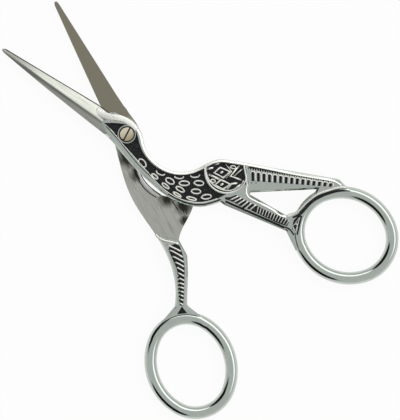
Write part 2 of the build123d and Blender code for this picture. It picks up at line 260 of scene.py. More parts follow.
def oxideAndPaintedShade(look):
    material, tree, shader, place = newMaterial("oxideAndPaintedShade")
    grain = addNode(tree, "ShaderNodeTexNoise", inputs={
        "Vector": place, "Scale": 1 / look["grainSize"], "Detail": 3.0, "Roughness": 0.6}).outputs[0]
    low, high = look["grainRange"]
    worn = addNode(tree, "ShaderNodeMapRange", {"interpolation_type": "SMOOTHSTEP"}, {
        "Value": grain, "From Min": low, "From Max": high})
    colour = addNode(tree, "ShaderNodeMix", {"data_type": "RGBA"}, {
        0: worn.outputs[0], 6: hexColour(look["colour"]), 7: hexColour(look["grainColour"])})
    bump = addNode(tree, "ShaderNodeBump", inputs={
        "Strength": look["pitStrength"], "Distance": look["pitHeight"], "Height": grain})
    shader.inputs["Roughness"].default_value = look["roughness"]
    shader.inputs["Specular IOR Level"].default_value = look["specular"]
    tree.links.new(colour.outputs[2], shader.inputs["Base Color"])
    tree.links.new(bump.outputs[0], shader.inputs["Normal"])
    return material


# Blade steel ground along its length: satin, with long grinding strokes and a dull streak beside the ridge
groundSteel = {
    "colour": "#D2D3CA",
    "strokeColour": "#9EA199",
    "strokeWidth": 0.16 * mm,   # coarser than a real grinding mark, so that it shows
    "strokeLength": 9.0 * mm,
    "strokeRange": (0.3, 0.7),  # part of the noise that the roughness follows
    "roughness": (0.24, 0.40),
    "streakColour": "#5C605B",
    "streakShare": 0.62,
    "streakAcross": {"front": -0.98 * mm, "rear": 0.98 * mm},  # its middle, from the half's axis
    "streakFade": (0.05 * mm, 0.75 * mm),                      # from its middle: full up to, gone at
}


def groundBlade(look, side):
    material, tree, shader, place = newMaterial("groundBladeSteel." + side)
    turned = addNode(tree, "ShaderNodeMapping", {"vector_type": "TEXTURE"}, {
        "Vector": place, "Rotation": (0, 0, axisAngle[side])}).outputs[0]
    across = addNode(tree, "ShaderNodeSeparateXYZ", inputs={"Vector": turned}).outputs["Y"]
    away = addNode(tree, "ShaderNodeMath", {"operation": "SUBTRACT"}, {
        0: across, 1: look["streakAcross"][side]})
    away = addNode(tree, "ShaderNodeMath", {"operation": "ABSOLUTE"}, {0: away.outputs[0]})
    low, high = look["streakFade"]
    streak = addNode(tree, "ShaderNodeMapRange", {"interpolation_type": "SMOOTHSTEP"}, {
        "Value": away.outputs[0], "From Min": low, "From Max": high,
        "To Min": look["streakShare"], "To Max": 0.0})
    along = addNode(tree, "ShaderNodeMapping", {"vector_type": "TEXTURE"}, {
        "Vector": turned, "Scale": (look["strokeLength"], look["strokeWidth"], look["strokeWidth"])})
    strokes = addNode(tree, "ShaderNodeTexNoise", inputs={
        "Vector": along.outputs[0], "Scale": 1.0, "Detail": 3.0, "Roughness": 0.6}).outputs[0]
    ground = addNode(tree, "ShaderNodeMix", {"data_type": "RGBA"}, {
        0: strokes, 6: hexColour(look["colour"]), 7: hexColour(look["strokeColour"])})
    colour = addNode(tree, "ShaderNodeMix", {"data_type": "RGBA"}, {
        0: streak.outputs[0], 6: ground.outputs[2], 7: hexColour(look["streakColour"])})
    smooth, rough = look["roughness"]
    low, high = look["strokeRange"]
    roughness = addNode(tree, "ShaderNodeMapRange", inputs={
        "Value": strokes, "From Min": low, "From Max": high, "To Min": smooth, "To Max": rough})
    shader.inputs["Metallic"].default_value = 1.0
    tree.links.new(colour.outputs[2], shader.inputs["Base Color"])
    tree.links.new(roughness.outputs[0], shader.inputs["Roughness"])
    return material


# Inner flat, where the halves slide: honed steel, grey-brown on the blade and silver on the body, with old
# oxide smeared along the honing strokes. The blade's darker grey-brown is partly painted shade, partly the
# steel's own tone
honedFlat = {
    "shadedBladeColour": "#918D7D",
    "bodyColour": "#BFC1B9",
    "strokeColour": "#8E9089",
    "bladeToBody": (-5.0 * mm, -1.0 * mm),  # along the half's axis, where one colour gives way to the other
    "strokeWidth": 0.22 * mm,
    "strokeLength": 6.0 * mm,
    "strokeRange": (0.5, 0.75),
    "roughness": 0.42,
    "stainColour": "#3B3A32",
    "stainLength": 1.8 * mm,
    "stainWidth": 0.40 * mm,
    "stainRange": (0.62, 1.42),  # of smear and nearness to a stain added up
    "stainCore": 0.2,            # share of a stain's radius that is full
    "stainShare": 0.9,
    # middle and radius of each stain, in mm
    "stains": {"front": [(0.0, 0.0, 4.0)],
               "rear": [(0.2, -6.0, 4.4), (2.8, -10.4, 3.2), (10.4, -16.8, 3.4), (14.8, -18.8, 3.6),
                        (15.2, -22.4, 2.4)]},
}


def honedInnerFlat(look, side):
    material, tree, shader, place = newMaterial("honedInnerFlat." + side)
    turned = addNode(tree, "ShaderNodeMapping", {"vector_type": "TEXTURE"}, {
        "Vector": place, "Rotation": (0, 0, axisAngle[side])}).outputs[0]
    reach = addNode(tree, "ShaderNodeSeparateXYZ", inputs={"Vector": turned}).outputs["X"]
    low, high = look["bladeToBody"]
    onBody = addNode(tree, "ShaderNodeMapRange", {"interpolation_type": "SMOOTHSTEP"}, {
        "Value": reach, "From Min": low, "From Max": high}).outputs[0]
    along = addNode(tree, "ShaderNodeMapping", {"vector_type": "TEXTURE"}, {
        "Vector": turned, "Scale": (look["strokeLength"], look["strokeWidth"], look["strokeWidth"])})
    strokes = addNode(tree, "ShaderNodeTexNoise", inputs={
        "Vector": along.outputs[0], "Scale": 1.0, "Detail": 4.0, "Roughness": 0.65}).outputs[0]
    low, high = look["strokeRange"]
    streak = addNode(tree, "ShaderNodeMapRange", inputs={
        "Value": strokes, "From Min": low, "From Max": high}).outputs[0]
    streak = addNode(tree, "ShaderNodeMath", {"operation": "MULTIPLY"}, {0: streak, 1: onBody}).outputs[0]
    # The blade's darker colour is partly painted shade
    bare = addNode(tree, "ShaderNodeMix", {"data_type": "RGBA"}, {
        0: onBody, 6: hexColour(look["shadedBladeColour"]), 7: hexColour(look["bodyColour"])})
    ground = addNode(tree, "ShaderNodeMix", {"data_type": "RGBA"}, {
        0: streak, 6: bare.outputs[2], 7: hexColour(look["strokeColour"])})
    smeared = addNode(tree, "ShaderNodeMapping", {"vector_type": "TEXTURE"}, {
        "Vector": turned, "Scale": (look["stainLength"], look["stainWidth"], look["stainWidth"])})
    smear = addNode(tree, "ShaderNodeTexNoise", inputs={
        "Vector": smeared.outputs[0], "Scale": 1.0, "Detail": 4.0, "Roughness": 0.7}).outputs[0]
    stained = 0.0
    for x, y, radius in look["stains"][side]:
        away = addNode(tree, "ShaderNodeVectorMath", {"operation": "DISTANCE"}, {
            0: place, 1: (x * mm, y * mm, level["meeting"])}).outputs["Value"]
        near = addNode(tree, "ShaderNodeMapRange", inputs={
            "Value": away, "From Min": look["stainCore"] * radius * mm, "From Max": radius * mm,
            "To Min": look["stainShare"], "To Max": 0.0}).outputs[0]
        stained = addNode(tree, "ShaderNodeMath", {"operation": "MAXIMUM"}, {0: stained, 1: near}).outputs[0]
    mottled = addNode(tree, "ShaderNodeMath", {"operation": "ADD"}, {0: stained, 1: smear}).outputs[0]
    low, high = look["stainRange"]
    stain = addNode(tree, "ShaderNodeMapRange", {"interpolation_type": "SMOOTHSTEP"}, {
        "Value": mottled, "From Min": low, "From Max": high}).outputs[0]
    colour = addNode(tree, "ShaderNodeMix", {"data_type": "RGBA"}, {
        0: stain, 6: ground.outputs[2], 7: hexColour(look["stainColour"])})
    shader.inputs["Metallic"].default_value = 1.0
    shader.inputs["Roughness"].default_value = look["roughness"]
    tree.links.new(colour.outputs[2], shader.inputs["Base Color"])
    return material


# Nickel silver screw, turned on a lathe: pale brass with fine rings, a painted shade darkening it towards the
# lower right, dirt in its slot
nickelSilver = {
    "colour": "#FFF9E8",
    "ringColour": "#E4D9BC",
    "ringWidth": 0.20 * mm,
    "wavePeriod": 0.314,                     # what a wave texture of scale 1 repeats in
    "roughness": 0.28,
    "shadedSideColour": "#A28F64",
    "shadeShare": 0.8,
    "shadeSide": (0.35, -0.94, 0.0),       # unit direction, down to the right
    "shadeEnds": (-1.02 * mm, 1.7 * mm),   # along that direction: none up to, full from
    "dirtColour": "#3A2E1C",
    "dirtTop": (3.46 * mm, 3.54 * mm),
}


def turnedNickelSilver(look):
    material, tree, shader, place = newMaterial("turnedNickelSilver")
    rings = addNode(tree, "ShaderNodeTexWave", {"wave_type": "RINGS", "rings_direction": "Z"}, {
        "Vector": place, "Scale": look["wavePeriod"] / look["ringWidth"],
        "Distortion": 1.5, "Detail": 2.0})
    turned = addNode(tree, "ShaderNodeMix", {"data_type": "RGBA"}, {
        0: rings.outputs["Fac"], 6: hexColour(look["colour"]), 7: hexColour(look["ringColour"])})
    # Painted shade: the head darkens to brown towards the lower right
    reach = addNode(tree, "ShaderNodeVectorMath", {"operation": "DOT_PRODUCT"}, {
        0: place, 1: look["shadeSide"]}).outputs["Value"]
    low, high = look["shadeEnds"]
    paintedShade = addNode(tree, "ShaderNodeMapRange", inputs={
        "Value": reach, "From Min": low, "From Max": high, "To Min": 0.0, "To Max": look["shadeShare"]})
    turned = addNode(tree, "ShaderNodeMix", {"data_type": "RGBA"}, {
        0: paintedShade.outputs[0], 6: turned.outputs[2], 7: hexColour(look["shadedSideColour"])})
    height = addNode(tree, "ShaderNodeSeparateXYZ", inputs={"Vector": place}).outputs["Z"]
    low, high = look["dirtTop"]
    clean = addNode(tree, "ShaderNodeMapRange", inputs={"Value": height, "From Min": low, "From Max": high})
    colour = addNode(tree, "ShaderNodeMix", {"data_type": "RGBA"}, {
        0: clean.outputs[0], 6: hexColour(look["dirtColour"]), 7: turned.outputs[2]})
    shader.inputs["Roughness"].default_value = look["roughness"]
    tree.links.new(clean.outputs[0], shader.inputs["Metallic"])
    tree.links.new(colour.outputs[2], shader.inputs["Base Color"])
    return material


plate = nickelMetal("polishedNickelPlate", nickelPlate)
# Lighter copy of the plate for the ridges: a painted highlight
burnishedAndHighlit = nickelMetal("burnishedAndHighlitRidges", burnishedAndHighlitNickel)
satin = nickelMetal("satinNickelHead", satinNickel)
headSatin = nickelMetal("satinNickelPaintedHighlight", satinWithPaintedHighlight)
oxideAndShade = oxideAndPaintedShade(blackOxideAndShade)
blade = {side: groundBlade(groundSteel, side) for side in ("front", "rear")}
innerFlat = {side: honedInnerFlat(honedFlat, side) for side in ("front", "rear")}
screwMetal = turnedNickelSilver(nickelSilver)
print("materials made")

# Halves: a welded copy of each forged half, its sharp edges eased as polishing leaves them
halfFinish = {
    "weld": 0.0005 * mm,
    "flatAngle": radians(0.4),
    "sharpAngle": radians(38),
    "edgeEase": 0.07 * mm,
    "smoothAngle": radians(32),
    "flatFaceWeight": 80,
    "bladeEnd": -7.5 * mm,              # along the half's axis
    "headEnd": -4.6 * mm,
    "slack": 0.1 * mm,                  # least depth of a recess, most distance from the meeting plane
    "frontDepth": 0.56 * mm,            # deepest recess in the front half's outside
    "rearDepth": 0.42 * mm,             # and in the rear half's
    "meetingNormal": 0.99,              # least upright share of an inner flat's normal
    "recessNormals": (0.1, 0.98),       # most for a recess's wall and least for its floor
    # middle along and across the half's axis, outer half axes, tilt
    "rings": {"front": ((61.8 * mm, 10.55 * mm), (14.05 * mm, 12.6 * mm), radians(10.3)),
              "rear": ((60.9 * mm, -14.05 * mm), (14.15 * mm, 11.95 * mm), radians(-9.0))},
    "ringMargin": 1.01,
}
zone = {"plate": 0, "recess": 1, "blade": 2, "innerFlat": 3, "head": 4}  # order of a half's materials


def faceZone(face, side):
    centre = face.calc_center_median()
    upright = abs(face.normal.z)
    slack = halfFinish["slack"]
    reach = centre.x * cos(axisAngle[side]) + centre.y * sin(axisAngle[side])
    if abs(centre.z - level["meeting"]) < slack and upright > halfFinish["meetingNormal"]:
        return zone["innerFlat"]
    if reach < halfFinish["bladeEnd"]:
        return zone["blade"]
    if reach < halfFinish["headEnd"]:
        return zone["head"]
    low = min(vert.co.z for vert in face.verts)
    high = max(vert.co.z for vert in face.verts)
    struckFront = level["top"] - halfFinish["frontDepth"] < low < level["top"] - slack
    struckRear = slack < high < halfFinish["rearDepth"]
    wall, floor = halfFinish["recessNormals"]
    if (struckFront or struckRear) and (upright > floor or upright < wall):
        return zone["recess"]
    return zone["plate"]


# True for what lies on a half's ring, whose rows of narrow faces are kept as they are
def onRing(vert, side):
    centre, halfAxes, tilt = halfFinish["rings"][side]
    place = Matrix.Rotation(-axisAngle[side], 2) @ vert.co.xy - Vector(centre)
    place = Matrix.Rotation(-tilt, 2) @ place
    return (place.x / halfAxes[0]) ** 2 + (place.y / halfAxes[1]) ** 2 < halfFinish["ringMargin"]


def finishHalf(nodeName, pieceName, side):
    bm = bmesh.new()
    bm.from_mesh(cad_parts[nodeName].data)
    bmesh.ops.remove_doubles(bm, verts=bm.verts, dist=halfFinish["weld"])
    plain = [vert for vert in bm.verts if not onRing(vert, side)]
    offRing = set(plain)
    edges = [edge for edge in bm.edges if edge.verts[0] in offRing and edge.verts[1] in offRing]
    bmesh.ops.dissolve_limit(bm, angle_limit=halfFinish["flatAngle"], verts=plain, edges=edges)
    bm.normal_update()
    for face in bm.faces:
        face.smooth = True
        face.material_index = faceZone(face, side)
    sharp = [edge for edge in bm.edges
             if len(edge.link_faces) == 2 and edge.calc_face_angle() > halfFinish["sharpAngle"]]
    bmesh.ops.bevel(bm, geom=sharp, offset=halfFinish["edgeEase"], offset_type="OFFSET",
                    segments=2, profile=0.5, material=-1, affect="EDGES", clamp_overlap=True)
    mesh = bpy.data.meshes.new(pieceName)
    bm.to_mesh(mesh)
    bm.free()
    piece = meshObject(pieceName, mesh, [plate, oxideAndShade, blade[side], innerFlat[side], satin])
    mesh.set_sharp_from_angle(angle=halfFinish["smoothAngle"])
    weighted = piece.modifiers.new("flatFacesFirst", "WEIGHTED_NORMAL")
    weighted.keep_sharp = True
    weighted.weight = halfFinish["flatFaceWeight"]
    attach(piece, side)
    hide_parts(nodeName)
    print(pieceName, len(mesh.polygons), "faces")


finishHalf("front_half", "forgedFrontHalf", "front")
finishHalf("rear_half", "forgedRearHalf", "rear")


# A raised, rounded line added to bm. Points lie flat, in metres, and shares are of the width at each.
def addBead(bm, points, width, height, base, closed=False, corners=False, shares=None):
    curve = bpy.data.curves.new("beadLine", "CURVE")
    curve.dimensions = "3D"
    curve.bevel_depth = width / 2
    curve.bevel_resolution = 2
    curve.resolution_u = 4
    curve.use_fill_caps = True
    spline = curve.splines.new("BEZIER")
    spline.bezier_points.add(len(points) - 1)
    spline.use_cyclic_u = closed
    for index, (knot, point) in enumerate(zip(spline.bezier_points, points)):
        knot.co = (point[0], point[1], 0)
        knot.handle_left_type = knot.handle_right_type = "VECTOR" if corners else "AUTO"
        knot.radius = shares[index] if shares else 1.0
    line = bpy.data.objects.new("beadLine", curve)
    mesh = bpy.data.meshes.new_from_object(line)
    mesh.transform(Matrix.Translation((0, 0, base)) @ Matrix.Diagonal((1, 1, 2 * height / width, 1)))
    bm.from_mesh(mesh)
    bpy.data.objects.remove(line)
    bpy.data.curves.remove(curve)
    bpy.data.meshes.remove(mesh)


# A band of sloped section along a rim. Points are photo pixels. Where it climbs, each also has its height in
# mm and its share of the width.
def addSlopedBand(bm, points, band):
    profile = bpy.data.curves.new("bandSection", "CURVE")
    section = profile.splines.new("POLY")
    corners = band["section"]
    section.points.add(len(corners) - 1)
    section.use_cyclic_u = True
    for knot, (across, height) in zip(section.points, corners):
        knot.co = (across * band["width"], height * mm, 0, 1)
    sectionObject = bpy.data.objects.new("bandSection", profile)
    curve = bpy.data.curves.new("bandLine", "CURVE")
    curve.dimensions = "3D"
    curve.twist_mode = "Z_UP"
    curve.bevel_mode = "OBJECT"
    curve.bevel_object = sectionObject
    curve.use_fill_caps = True
    curve.resolution_u = 6
    spline = curve.splines.new("BEZIER")
    spline.bezier_points.add(len(points) - 1)
    for knot, point in zip(spline.bezier_points, points):
        x, y, height, share = (*point, 0.0, 1.0)[:4]
        knot.co = fromPhoto((x, y), height * mm)
        knot.handle_left_type = knot.handle_right_type = "AUTO"
        knot.radius = share
    line = bpy.data.objects.new("bandLine", curve)
    bpy.context.scene.collection.objects.link(line)
    bpy.context.scene.collection.objects.link(sectionObject)
    bpy.context.view_layer.update()
    mesh = bpy.data.meshes.new_from_object(line.evaluated_get(bpy.context.evaluated_depsgraph_get()))
    mesh.transform(Matrix.Translation((0, 0, band["base"])))
    bm.from_mesh(mesh)
    for item in (line, sectionObject):
        bpy.data.objects.remove(item)
    for item in (curve, profile):
        bpy.data.curves.remove(item)
    bpy.data.meshes.remove(mesh)


# Several beads of one size, from photo pixels
def addBeads(bm, lines, size, **shape):
    for line in lines:
        points = [fromPhoto(point) for point in line]
        addBead(bm, points, size["width"], size["height"], size["base"], **shape)


reliefWeld = 0.001 * mm


# Welds and smooths a relief and puts it on a half
def placeRelief(bm, name, material, side="front"):
    bmesh.ops.remove_doubles(bm, verts=bm.verts, dist=reliefWeld)
    for face in bm.faces:
        face.smooth = True
    mesh = bpy.data.meshes.new(name)
    bm.to_mesh(mesh)
    bm.free()
    piece = meshObject(name, mesh, [material])
    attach(piece, side)
    print(name, len(mesh.polygons), "faces")
    return piece


# The same relief struck into the outside of the rear half
def placeTwin(piece):
    turnOver = (Matrix.Rotation(axisAngle["rear"], 4, "Z")
                @ Matrix.Translation((0, 0, 2 * level["meeting"])) @ Matrix.Diagonal((1, 1, -1, 1))
                @ Matrix.Rotation(-axisAngle["front"], 4, "Z"))
    mesh = piece.data.copy()
    mesh.transform(turnOver)
    mesh.flip_normals()
    twin = bpy.data.objects.new(piece.name + "Rear", mesh)
    bpy.context.scene.collection.objects.link(twin)
    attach(twin, "rear")


ovalKnots = 8


def ovalPoints(centre, length, width, tilt):
    middle = fromPhoto(centre)
    step = cameraView["pixelSize"]
    turn = Matrix.Rotation(radians(-tilt), 3, "Z")
    points = []
    for k in range(ovalKnots):
        angle = tau * k / ovalKnots
        arm = Vector((length * step / 2 * cos(angle), width * step / 2 * sin(angle), 0))
        points.append(middle + turn @ arm)
    return points


# From here on, places are photo pixels unless a note says otherwise.

# Bright rims of back and hole, bands that slope outwards, and a bead over the web between hole and ring
rims = {
    "back": [(113.9, 115.8), (120.5, 118.0), (127.3, 121.3), (133.5, 125.6), (138.0, 130.5), (140.8, 137.0),
             (142.6, 144.5), (145.6, 152.0), (150.5, 159.0), (156.9, 164.8), (163.6, 169.2), (171.0, 172.0),
             (180.3, 173.4), (190.4, 172.4), (200.0, 168.8), (208.0, 164.6), (214.5, 161.9), (221.3, 160.8),
             (232.4, 162.0), (264.8, 167.8), (292.5, 173.4), (315.6, 177.4), (329.5, 179.8), (336.5, 181.8),
             (342.0, 185.4)],
    "hole": [(290.6, 214.6), (285.2, 216.4), (270.7, 208.4), (255.9, 200.8), (249.4, 197.2), (247.2, 194.0),
             (246.8, 190.4), (247.4, 186.0)],
    "web": [(286.4, 216.6), (292.4, 214.6), (298.2, 211.0), (304.2, 204.8), (311.0, 198.8), (318.0, 194.2),
            (328.6, 190.4), (339.0, 187.6), (346.0, 187.6)],
    "width": 0.78 * mm,
    "holeWidth": 0.72 * mm,
    "base": 3.20 * mm,
    # shares of the width, and heights in mm
    "section": [(-0.5, -0.30), (-0.5, 0.28), (-0.40, 0.40), (-0.28, 0.40), (0.40, 0.08), (0.5, 0.0),
                (0.5, -0.30)],
    "webWidth": 0.62 * mm,
    "webHeight": 0.20 * mm,
    "webBase": 3.42 * mm,
}

# Band over the head, which climbs from the blade to the top
headBand = {
    # photo pixels, height in mm and share of the width
    "points": [(96.0, 110.2, 2.28, 1.30), (101.4, 113.4, 2.62, 1.26), (106.4, 115.9, 3.02, 1.18),
               (111.0, 117.0, 3.28, 1.08), (115.6, 117.4, 3.40, 1.0), (122.0, 118.8, 3.40, 1.0),
               (128.5, 122.0, 3.40, 1.0), (133.0, 125.6, 3.40, 0.9), (136.6, 129.4, 3.40, 0.7)],
    "width": 1.55 * mm,
    "base": 0.0,
    "section": [(-0.5, -0.42), (-0.5, 0.18), (-0.42, 0.27), (-0.34, 0.29), (0.44, 0.04), (0.5, -0.02),
                (0.5, -0.42)],
}
beads = bmesh.new()
addSlopedBand(beads, headBand["points"][::-1], headBand)
# The band's lighter satin is a painted highlight
placeRelief(beads, "headBand", headSatin)
beads = bmesh.new()
addSlopedBand(beads, rims["back"][::-1], rims)
addSlopedBand(beads, rims["hole"], dict(rims, width=rims["holeWidth"]))
addBeads(beads, [rims["web"]], dict(width=rims["webWidth"], height=rims["webHeight"], base=rims["webBase"]))
placeRelief(beads, "brightRims", burnishedAndHighlit)

# Crest: a thin raised line where the belly's rim meets the sunk field, bright partly from its own reflection
# and partly from the painted highlight of the lighter ridge metal
bellyCrest = {
    "line": [(109.8, 128.4), (116.2, 136.0), (121.9, 143.4), (130.6, 153.1), (139.3, 162.9), (148.0, 172.6),
             (156.4, 182.2), (168.2, 192.7), (180.3, 199.0), (192.0, 202.0), (202.3, 202.4), (211.4, 200.6),
             (217.3, 198.6)],
    "width": 0.30 * mm,
    "height": 0.16 * mm,
    "base": 3.38 * mm,
}
beads = bmesh.new()
addBeads(beads, [bellyCrest["line"]], bellyCrest)
placeRelief(beads, "bellyCrest", burnishedAndHighlit)

# Spots on neck and body: middle, length, width, and tilt in degrees, down to the right
spots = {
    "ovals": [((142.2, 163), 9.5, 5.5, 50), ((154.7, 176.4), 7.5, 3.0, 40), ((169.8, 181), 9.2, 5.0, 30),
              ((184.1, 183.3), 10.2, 4.4, 2), ((165.4, 185.9), 8.4, 2.8, 38), ((180.0, 189.3), 9.2, 3.8, 30),
              ((195.9, 191.4), 9.4, 4.4, 4), ((198.8, 183.1), 9.6, 4.6, 5), ((177.0, 194.6), 9.0, 2.2, 32),
              ((191.4, 198.6), 10.0, 2.6, 14), ((206.2, 196.8), 9.8, 4.4, -8)],
    # lower halves of spots that the back's rim cuts off
    "cups": [((160.6, 172.2), 9.5, 5.0, 22), ((179.0, 176.2), 9.5, 4.6, 4), ((195.0, 175.2), 9.5, 4.2, -6)],
    "width": 0.50 * mm,
    "height": 0.36 * mm,
    "base": level["fieldTop"],
}
beads = bmesh.new()
for oval in spots["ovals"]:
    addBead(beads, ovalPoints(*oval), spots["width"], spots["height"], spots["base"], closed=True)
for oval in spots["cups"]:
    cup = ovalPoints(*oval)
    addBead(beads, cup[4:] + cup[:1], spots["width"], spots["height"], spots["base"])
placeTwin(placeRelief(beads, "neckSpots", burnishedAndHighlit))

# Wing: a second rim inside the wing's edge, two lozenges with an eye, and broad and fine feather strokes
wing = {
    "edge": [(204.6, 166.4), (205.3, 172.6), (207.6, 180.6), (213.4, 188.4), (221.2, 192.3), (229.8, 192.7),
             (237.6, 189.7), (243.6, 183.9), (246.6, 178.0)],
    "divider": [(243.8, 164.4), (245.2, 172.0), (246.6, 180.0), (247.6, 188.0)],
    "rims": [[(205.8, 169.6), (207.0, 175.5), (210.6, 182.2), (217.0, 187.6), (226.0, 190.6), (234.2, 189.4),
              (240.6, 185.4), (243.6, 180.6)]],
    "lozenges": [[(213.9, 172.7), (220.3, 167.3), (229.9, 171.6), (223.3, 177.8)],
                 [(214.6, 184.9), (221.0, 179.8), (230.0, 184.0), (223.0, 189.4)]],
    "eyes": [((221.6, 172.3), 4.4, 2.8, -25), ((221.8, 184.4), 4.4, 2.8, -25)],
    "strokes": [[(239.7, 165.2), (230.2, 176.2), (241.4, 179.8)], [(208.6, 174.2), (219.6, 179.4)],
                [(206.6, 169.4), (213.4, 167.4)], [(237.4, 183.0), (231.4, 183.8), (226.6, 189.2)]],
    "fineStrokes": [[(242.4, 168.8), (234.0, 176.2)], [(225.0, 163.6), (231.6, 171.4), (225.6, 178.4)],
                    [(214.6, 164.8), (219.4, 163.4)], [(233.0, 189.6), (240.6, 184.2)]],
    "ovals": [((233.0, 167.2), 5.6, 3.0, 8), ((212.9, 181.0), 4.6, 3.0, 15)],
    "width": 0.46 * mm,
    "lozengeWidth": 0.64 * mm,
    "strokeWidth": 0.66 * mm,
    "fineWidth": 0.36 * mm,
    "fineHeight": 0.28 * mm,
    "height": 0.36 * mm,
    "edgeBase": 3.36 * mm,
    "edgeHeight": 0.20 * mm,
    "base": level["fieldTop"],
}
beads = bmesh.new()
addBeads(beads, wing["rims"], wing)
addBeads(beads, [wing["edge"], wing["divider"]], dict(wing, base=wing["edgeBase"], height=wing["edgeHeight"]))
addBeads(beads, wing["lozenges"], dict(wing, width=wing["lozengeWidth"]), closed=True, corners=True)
addBeads(beads, wing["fineStrokes"], dict(wing, width=wing["fineWidth"], height=wing["fineHeight"]),
         corners=True)
addBeads(beads, wing["strokes"], dict(wing, width=wing["strokeWidth"]), corners=True)
for oval in wing["ovals"]:
    addBead(beads, ovalPoints(*oval), wing["width"], wing["height"], wing["base"], closed=True)
for centre, length, width, tilt in wing["eyes"]:
    eye = bmesh.ops.create_uvsphere(beads, u_segments=12, v_segments=8, radius=0.5)["verts"]
    step = cameraView["pixelSize"]
    bmesh.ops.scale(beads, verts=eye, vec=(length * step, width * step, 2 * wing["height"]))
    bmesh.ops.rotate(beads, verts=eye, cent=(0, 0, 0), matrix=Matrix.Rotation(radians(-tilt), 3, "Z"))
    bmesh.ops.translate(beads, verts=eye, vec=fromPhoto(centre, wing["base"]))
placeRelief(beads, "wingFeathers", burnishedAndHighlit)


# A point given in mm along the front half's axis and across it
def onFront(along, across):
    turn = axisAngle["front"]
    return Vector((along * cos(turn) - across * sin(turn), along * sin(turn) + across * cos(turn), 0)) * mm


# Rows of slots in tail and leg, as in the CAD: the two ends of each of the row's edges
slotRows = {
    "tail": {"near": (onFront(32.14, 10.39), onFront(51.91, 20.15)),
             "far": (onFront(33.62, 8.33), onFront(52.22, 19.20)), "count": 15},
    "legBroad": {"near": (onFront(32.32, 3.06), onFront(37.08, 3.59)),
                 "far": (onFront(30.90, 1.00), onFront(36.59, 1.32)), "count": 5},
    "legFine": {"near": (onFront(38.32, 3.64), onFront(47.59, 5.49)),
                "far": (onFront(38.93, 2.11), onFront(47.59, 3.90)), "count": 12},
    "width": 0.38 * mm,
    "height": 0.18 * mm,
    "base": 3.38 * mm,
    "barStart": 0.22,        # where the tail's bars start, as a share of their length
    "legHeight": 0.20 * mm,
    "broadWidth": 0.46 * mm,
    "fineWidth": 0.30 * mm,
    "extraBar": [(249.4, 210.0), (256.2, 204.6)],
    # shares of a slot's pitch at the middle of slot and bar
    "slotMiddle": 0.25,
    "barMiddle": 0.75,
}

# Fine ticks along the tail's upper rim
tailTicks = {
    "count": 34,
    "first": (249.6, 168.2),
    "step": (2.42, 0.40),      # to the next
    "run": (-0.10, -0.46, 0),  # from end to end, in mm
    "width": 0.20 * mm,
    "height": 0.07 * mm,
    "base": 3.44 * mm,
}


# Bright ridges on the bars between the slots of a row
def addBars(bm, row, size, start=0.0):
    for index in range(row["count"]):
        share = (index + slotRows["barMiddle"]) / row["count"]
        high = row["near"][0].lerp(row["near"][1], share)
        low = row["far"][0].lerp(row["far"][1], share)
        addBead(bm, [high.lerp(low, start), low], size["width"], size["height"], size["base"])


# Small arches over the tail's slots. Their five knots are shares along half a pitch and down the slot.
archKnots = [(-1.0, 0.28), (-0.6, 0.06), (0.0, 0.0), (0.6, 0.06), (1.0, 0.28)]


def addArches(bm, row, size):
    for index in range(row["count"]):
        share = (index + slotRows["slotMiddle"]) / row["count"]
        top = row["near"][0].lerp(row["near"][1], share)
        down = row["far"][0].lerp(row["far"][1], share) - top
        halfPitch = (row["near"][1] - row["near"][0]) * 0.5 / row["count"]
        arch = [top + halfPitch * along + down * drop for along, drop in archKnots]
        addBead(bm, arch, size["width"], size["height"], size["base"])


beads = bmesh.new()
addArches(beads, slotRows["tail"], slotRows)
addBars(beads, slotRows["tail"], slotRows, start=slotRows["barStart"])
broadBar = dict(slotRows, width=slotRows["broadWidth"], height=slotRows["legHeight"])
addBars(beads, slotRows["legBroad"], broadBar)
addBeads(beads, [slotRows["extraBar"]], broadBar)
addBars(beads, slotRows["legFine"], dict(slotRows, width=slotRows["fineWidth"], height=slotRows["legHeight"]))
for index in range(tailTicks["count"]):
    x, y = [start + step * index for start, step in zip(tailTicks["first"], tailTicks["step"])]
    tick = fromPhoto((x, y))
    addBead(beads, [tick, tick + Vector(tailTicks["run"]) * mm], tailTicks["width"], tailTicks["height"],
            tailTicks["base"])
placeRelief(beads, "tailAndLegRidges", burnishedAndHighlit)

# Gusset between leg and ring: a pointed loop
gusset = {
    "lines": [[(292.6, 226.6), (299.8, 217.4), (297.3, 225.8), (295.4, 232.6)],
              [(292.6, 226.6), (295.4, 232.6)],
              [(294.6, 224.4), (297.4, 224.0)]],
    "width": 0.34 * mm,
    "height": 0.14 * mm,
    "base": 3.44 * mm,
}
beads = bmesh.new()
addBeads(beads, gusset["lines"], gusset, corners=True)
placeRelief(beads, "gussetLoop", burnishedAndHighlit)
